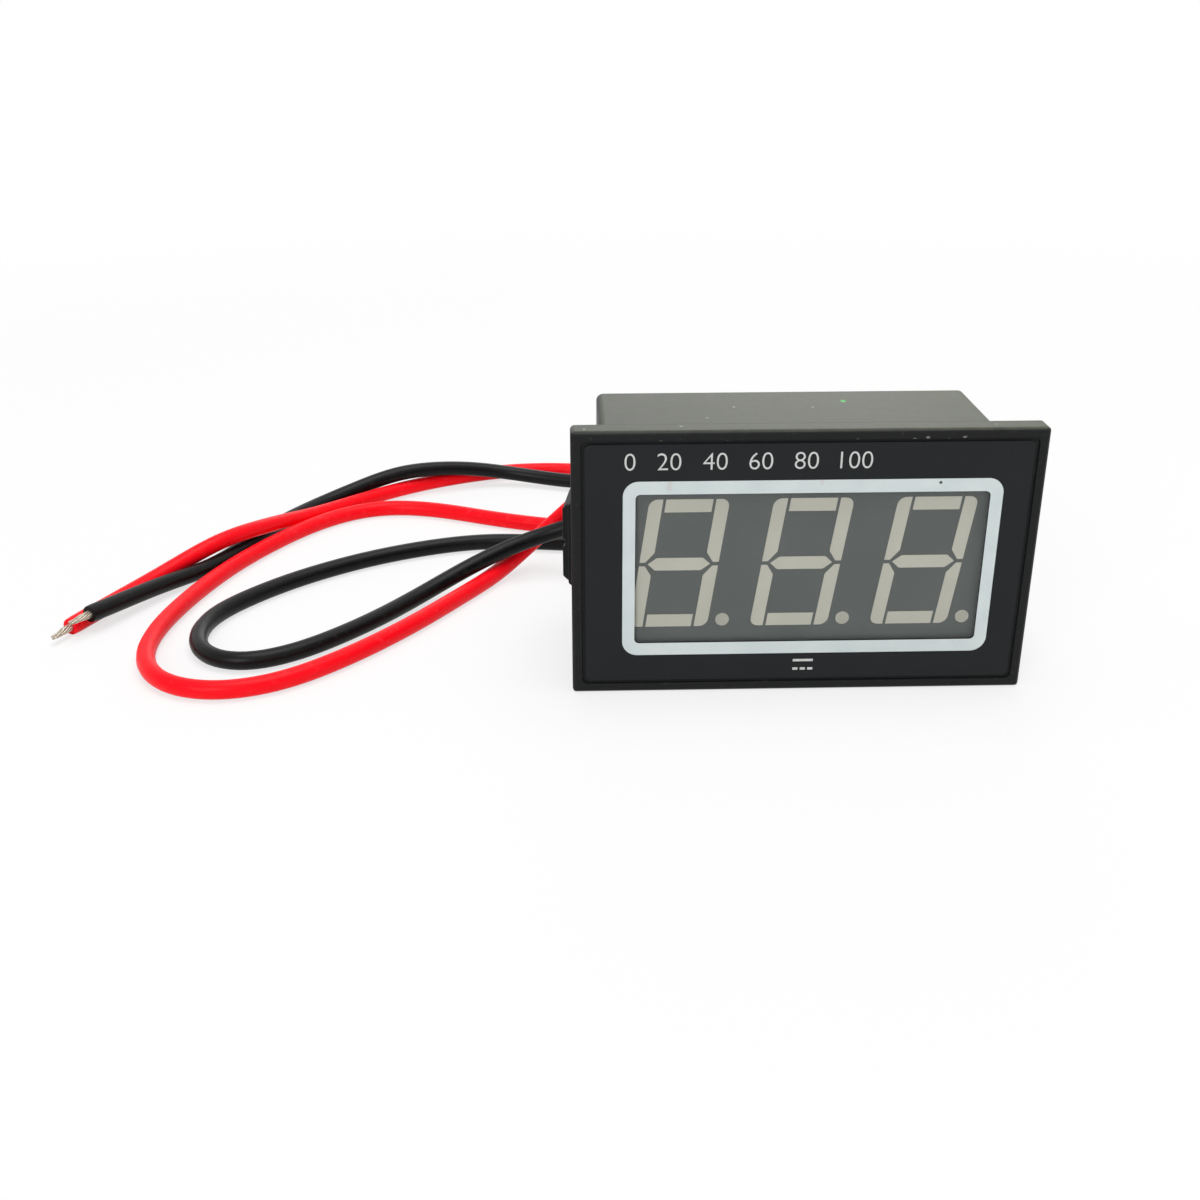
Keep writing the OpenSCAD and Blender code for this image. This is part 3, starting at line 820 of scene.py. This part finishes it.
chipPieces = {
    # CAD node: piece, how far its edges are rounded in mm, finish, slot
    "controller_chip": ("controllerChip", 0.06, chipPaint, "chip"),
    "chip_leads": ("controllerLeads", 0.03, tinPaint, "tin"),
    "regulator": ("regulatorBody", 0.06, chipPaint, "chip"),
    "regulator_leads": ("regulatorLeads", 0.04, tinPaint, "tin"),
    "diode": ("diodeBody", 0.07, diodePaint, "chip"),
    "diode_leads": ("diodeLeads", 0.04, tinPaint, "tin"),
    "capacitor_base": ("capacitorSeat", 0.06, chipPaint, "capacitor_base"),
    "capacitor_tabs": ("capacitorTabs", 0.03, tinPaint, "tin"),
    "chip_terminals": ("terminalCaps", 0.05, tinPaint, "tin"),
    "display_pins": ("displayPins", 0.05, tinPaint, "tin"),
    "chip_resistors": ("resistorBodies", 0.04, ceramic("resistorGlaze", "#161619", "#232327"), "ceramic_black"),
    "chip_capacitors": ("ceramicBodies", 0.05, ceramic("bareCeramic", "#957550", "#b4946c"), "ceramic_tan"),
}
for nodeName, (pieceName, width, paint, slotName) in chipPieces.items():
    finished(softCopy(nodeName, pieceName, width), paint, [nodeName])


def canMetal():
    # Bright sleeve with a dark half moon on top for the negative side
    paint = Paint("canMetal", "#c8cacb", 0.28, Metallic=1.0)
    x, y = paint.axes()[:2]
    low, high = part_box("capacitor_can")
    middle = (low[0] + high[0]) / 2
    moon = (y > (high[1] - partsPlan["canTop"] * mm)) * (x > (middle + partsPlan["canMoon"] * mm))
    brushed = paint.noise(700, 3, at=paint.stretched((1, 0.06, 1)))
    paint.feed(
        Base_Color=paint.blended(moon, paint.blended(brushed, "#b2b4b5", "#dcdedf"), "#17181a"),
        Metallic=1 - moon,
        Roughness=brushed * 0.15 + 0.2 + moon * 0.2,
        Normal=paint.bump(brushed, 0.00003, 0.4))
    return paint


dress("capacitor_can", canMetal())
print("board parts dressed")

boardPlan = {
    "back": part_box("circuit_board")[1][1] / mm,  # y of the soldered side
    "proud": 1.1,  # discs stand a hair higher than bars, so that no two faces fight
    "pinPitch": 2.54, "pinRow": 7.62,  # the display's pins, in two rows above and below the middle
    "chipX": 0.5, "leadPitch": 1.27, "leadFoot": 2.75,
    "resistorPitch": 1.3}


def spread(count, pitch, middle=0):
    return [middle + (i - (count - 1) / 2) * pitch for i in range(count)]


pinX = spread(6, boardPlan["pinPitch"])
leadX = spread(8, boardPlan["leadPitch"], boardPlan["chipX"])
resistorX = spread(8, boardPlan["resistorPitch"], boardPlan["chipX"])


def bar(work, start, end, width, high):
    # A flat bar on the board's soldered side, x and z in mm from the board's middle
    y = (boardPlan["back"] + high / 2) * mm
    run = Vector((end[0] - start[0], end[1] - start[1]))
    turn = Matrix.Rotation(-math.atan2(run.y, run.x), 3, "Y")
    middle = ((start[0] + end[0]) / 2, (start[1] + end[1]) / 2)
    made = bmesh.ops.create_cube(work, size=1)["verts"]
    bmesh.ops.scale(work, verts=made, vec=(run.length * mm, high * mm, width * mm))
    bmesh.ops.rotate(work, verts=made, cent=(0, 0, 0), matrix=turn)
    bmesh.ops.translate(work, verts=made, vec=(middle[0] * mm, y, (midZ + middle[1]) * mm))


def disc(work, x, z, radius, high, sides=16):
    place = Matrix.Translation((x * mm, (boardPlan["back"] + high / 2) * mm, (midZ + z) * mm))
    turn = Matrix.Rotation(math.radians(-90), 4, "X")
    made = bmesh.ops.create_cone(work, cap_ends=True, segments=sides, radius1=radius * mm,
                                 radius2=radius * mm, depth=high * mm, matrix=place @ turn)
    return made["verts"]


def path(work, points, width, high):
    # Bars from point to point with a disc at each bend, and at the join where the path closes
    for start, end in zip(points, points[1:]):
        bar(work, start, end, width, high)
    closed = points[0] == points[-1]
    for x, z in points[1:] if closed else points[1:-1]:
        disc(work, x, z, width / 2, high * boardPlan["proud"], 12)


trackPlan = {
    "high": 0.04, "signal": 0.3, "power": 0.9,
    "resistorTop": -4.5, "resistorFoot": -5.9,
    "lowBend": (-6.3, -6.9), "highBend": (4.6, 5.9), "rowEnd": 7.6,
    # the supply lines, from bend to bend
    "supply": (
        [(-14.5, 3), (-11.2, 3), (-9.2, 0.6)],
        [(-9.2, -4), (-9.2, -8.3), (-8.1, -9.5), (9.2, -9.5), (11, -7.7), (11, -5.3)],
        [(-14.5, -4.5), (-17.3, -1.7), (-17.3, 8.3), (-16.1, 9.5), (13.6, 9.5), (14.9, 8.2), (14.9, 3.7)],
        [(11, -2), (11, -0.6), (9.4, 1), (9.4, 3.7)])}


def boardTracks():
    # Copper under the lacquer: the controller to the resistors, both pin rows and the supply lines
    plan = trackPlan
    foot = boardPlan["leadFoot"]
    signals = [[(lead, -foot), (resistor, plan["resistorTop"])] for lead, resistor in zip(leadX, resistorX)]
    bend, out = plan["lowBend"]
    signals += [[(resistor, plan["resistorFoot"]), (resistor, bend), (pin, out), (pin, -plan["rowEnd"])]
                for resistor, pin in zip(resistorX[1:], pinX)]
    bend, out = plan["highBend"]
    signals += [[(lead, foot), (lead, bend), (pin, out), (pin, plan["rowEnd"])]
                for lead, pin in zip(leadX[1:], pinX)]
    work = bmesh.new()
    for points in signals:
        path(work, points, plan["signal"], plan["high"])
    for points in plan["supply"]:
        path(work, points, plan["power"], plan["high"])
    return meshPiece("boardTracks", work)


viaPlan = {
    "radius": 0.36, "hole": 0.16, "high": 0.06,
    "sunk": 0.7,  # how deep the hole is, as a share of the height
    "places": ((-12.6, -1.2), (-6.6, 1.6), (-6.4, -6.1), (7.6, -6.3), (14.6, -1.2),
               (-11.8, 7.4), (6.9, 4.6), (16.9, 6.6), (-16.9, -7.6), (5.08, -8.55))}


def boardVias():
    plan = viaPlan
    work = bmesh.new()
    for x, z in plan["places"]:
        verts = disc(work, x, z, plan["radius"], plan["high"])
        top = max({f for v in verts for f in v.link_faces}, key=lambda f: f.calc_center_median().y)
        bmesh.ops.inset_region(work, faces=[top], thickness=(plan["radius"] - plan["hole"]) * mm)
        bmesh.ops.translate(work, verts=top.verts, vec=(0, -plan["high"] * plan["sunk"] * mm, 0))
    return meshPiece("boardVias", work)


inkPlan = {
    "line": 0.15, "high": 0.05,
    # left, low, right and top of the outlines round the diode, the capacitor and the regulator
    "boxes": ((-11.1, -5.3, -7.3, 1.9), (9.9, 1.2, 15.1, 6.2), (8.2, -6.2, 13.8, -0.9)),
    "chipSide": 5.25, "chipHalf": 1.9,
    "dot": (-5.6, -2.5, 0.22)}  # x from the controller's middle, z and radius


def boardInk():
    # Outlines round the parts, as such boards have, with no lettering
    plan = inkPlan
    chipX, side, half = boardPlan["chipX"], plan["chipSide"], plan["chipHalf"]
    outlines = [[(left, low), (right, low), (right, top), (left, top), (left, low)]
                for left, low, right, top in plan["boxes"]]
    outlines += [[(x, -half), (x, half)] for x in (chipX - side, chipX + side)]
    work = bmesh.new()
    for points in outlines:
        path(work, points, plan["line"], plan["high"])
    x, z, radius = plan["dot"]
    disc(work, chipX + x, z, radius, plan["high"])
    return meshPiece("boardInk", work)


beadPlan = {
    "out": 0.2,  # mm that a bead stands off the board
    # x, z, half width and half height
    "feet": (
        (leadX, (-3.15, 3.15), 0.3, 0.42),  # controller
        ((9.5, 11, 12.5), (-5.95,), 0.4, 0.42),  # regulator, its legs
        ((11,), (-1.35,), 1.0, 0.4),  # and its tab
        ((-9.2,), (1.05, -4.45), 0.75, 0.5),  # diode
        ((9.75, 15.25), (3.7,), 0.4, 0.5),  # capacitor
        (resistorX, (-4.42, -5.98), 0.42, 0.28))}


def solderMounds():
    # Small beads of solder at the feet of the surface-mounted parts
    work = bmesh.new()
    places = [(x, z, wide, tall) for row, heights, wide, tall in beadPlan["feet"] for x in row for z in heights]
    for x, z, wide, tall in places:
        made = bmesh.ops.create_uvsphere(work, u_segments=14, v_segments=8, radius=mm)["verts"]
        bmesh.ops.scale(work, verts=made, vec=(wide, beadPlan["out"], tall))
        bmesh.ops.translate(work, verts=made, vec=(x * mm, boardPlan["back"] * mm, (midZ + z) * mm))
    return meshPiece("solderMounds", work, 60)


filletPlan = {
    # radius at the board, radius at the metal, and height
    "pin": (0.85, 0.24, 0.9), "lead": (1.5, 0.52, 1.2),
    "hollow": 2.2, "steps": 7, "sides": 20}


def fillet(work, x, z, radius, core, high):
    # Solder drawn up round a pin: a hollow curve from the board to the metal, spun round
    plan = filletPlan
    last = None
    for i in range(plan["steps"] + 1):
        t = i / plan["steps"]
        out = core + (radius - core) * (1 - t) ** plan["hollow"]
        vert = work.verts.new(((x + out) * mm, (boardPlan["back"] + high * t) * mm, (midZ + z) * mm))
        if last:
            work.edges.new((last, vert))
        last = vert
    chain = [v for v in work.verts if not v.link_faces]
    edges = [e for e in work.edges if not e.link_faces]
    bmesh.ops.spin(work, geom=chain + edges, cent=(x * mm, 0, (midZ + z) * mm), axis=(0, 1, 0),
                   angle=math.radians(360), steps=plan["sides"], use_merge=True)


def fillets(name, places, shape):
    work = bmesh.new()
    for x, z in places:
        fillet(work, x, z, *shape)
    bmesh.ops.remove_doubles(work, verts=work.verts, dist=1e-7)
    bmesh.ops.holes_fill(work, edges=[e for e in work.edges if e.is_boundary])
    bmesh.ops.recalc_face_normals(work, faces=work.faces)
    return meshPiece(name, work, 50)


def leadRoots(route):
    # Bare strands between the board and the insulation
    plan = strandPlan
    x, depth, z = route[0]
    first = boardPlan["back"] - plan["inBoard"]
    last = frontY + depth + plan["inSleeve"]
    lines = []
    for away, angle in bundle():
        strand = []
        for i in range(plan["rootPoints"]):
            t = i / (plan["rootPoints"] - 1)
            turn = math.radians(angle + plan["rootTwist"] * t)
            place = (x + away * math.cos(turn), first + (last - first) * t, z + away * math.sin(turn))
            strand.append(Vector(place) * mm)
        lines.append(strand)
    return lines


finished(boardTracks(), lacquered("coveredCopper", "#2a8248", "#349455"))
finished(boardInk(), lacquered("markingInk", "#cfd2cc", "#e6e8e2"))
finished(boardVias(), tinPaint)
finished(solderMounds(), solderPaint)
pinPlaces = [(x, z) for x in pinX for z in (-boardPlan["pinRow"], boardPlan["pinRow"])]
leadPlaces = [(x, z - midZ) for x, depth, z in (redRoute[0], blackRoute[0])]
finished(fillets("pinFillets", pinPlaces, filletPlan["pin"]), solderPaint, ["pin_solder"])
finished(fillets("leadFillets", leadPlaces, filletPlan["lead"]), solderPaint, ["wire_joints"])
roots = leadRoots(redRoute) + leadRoots(blackRoute)
finished(tube("leadRoots", roots, strandPlan["radius"] * mm, 1), strandPaint)
print("board tracked and soldered")
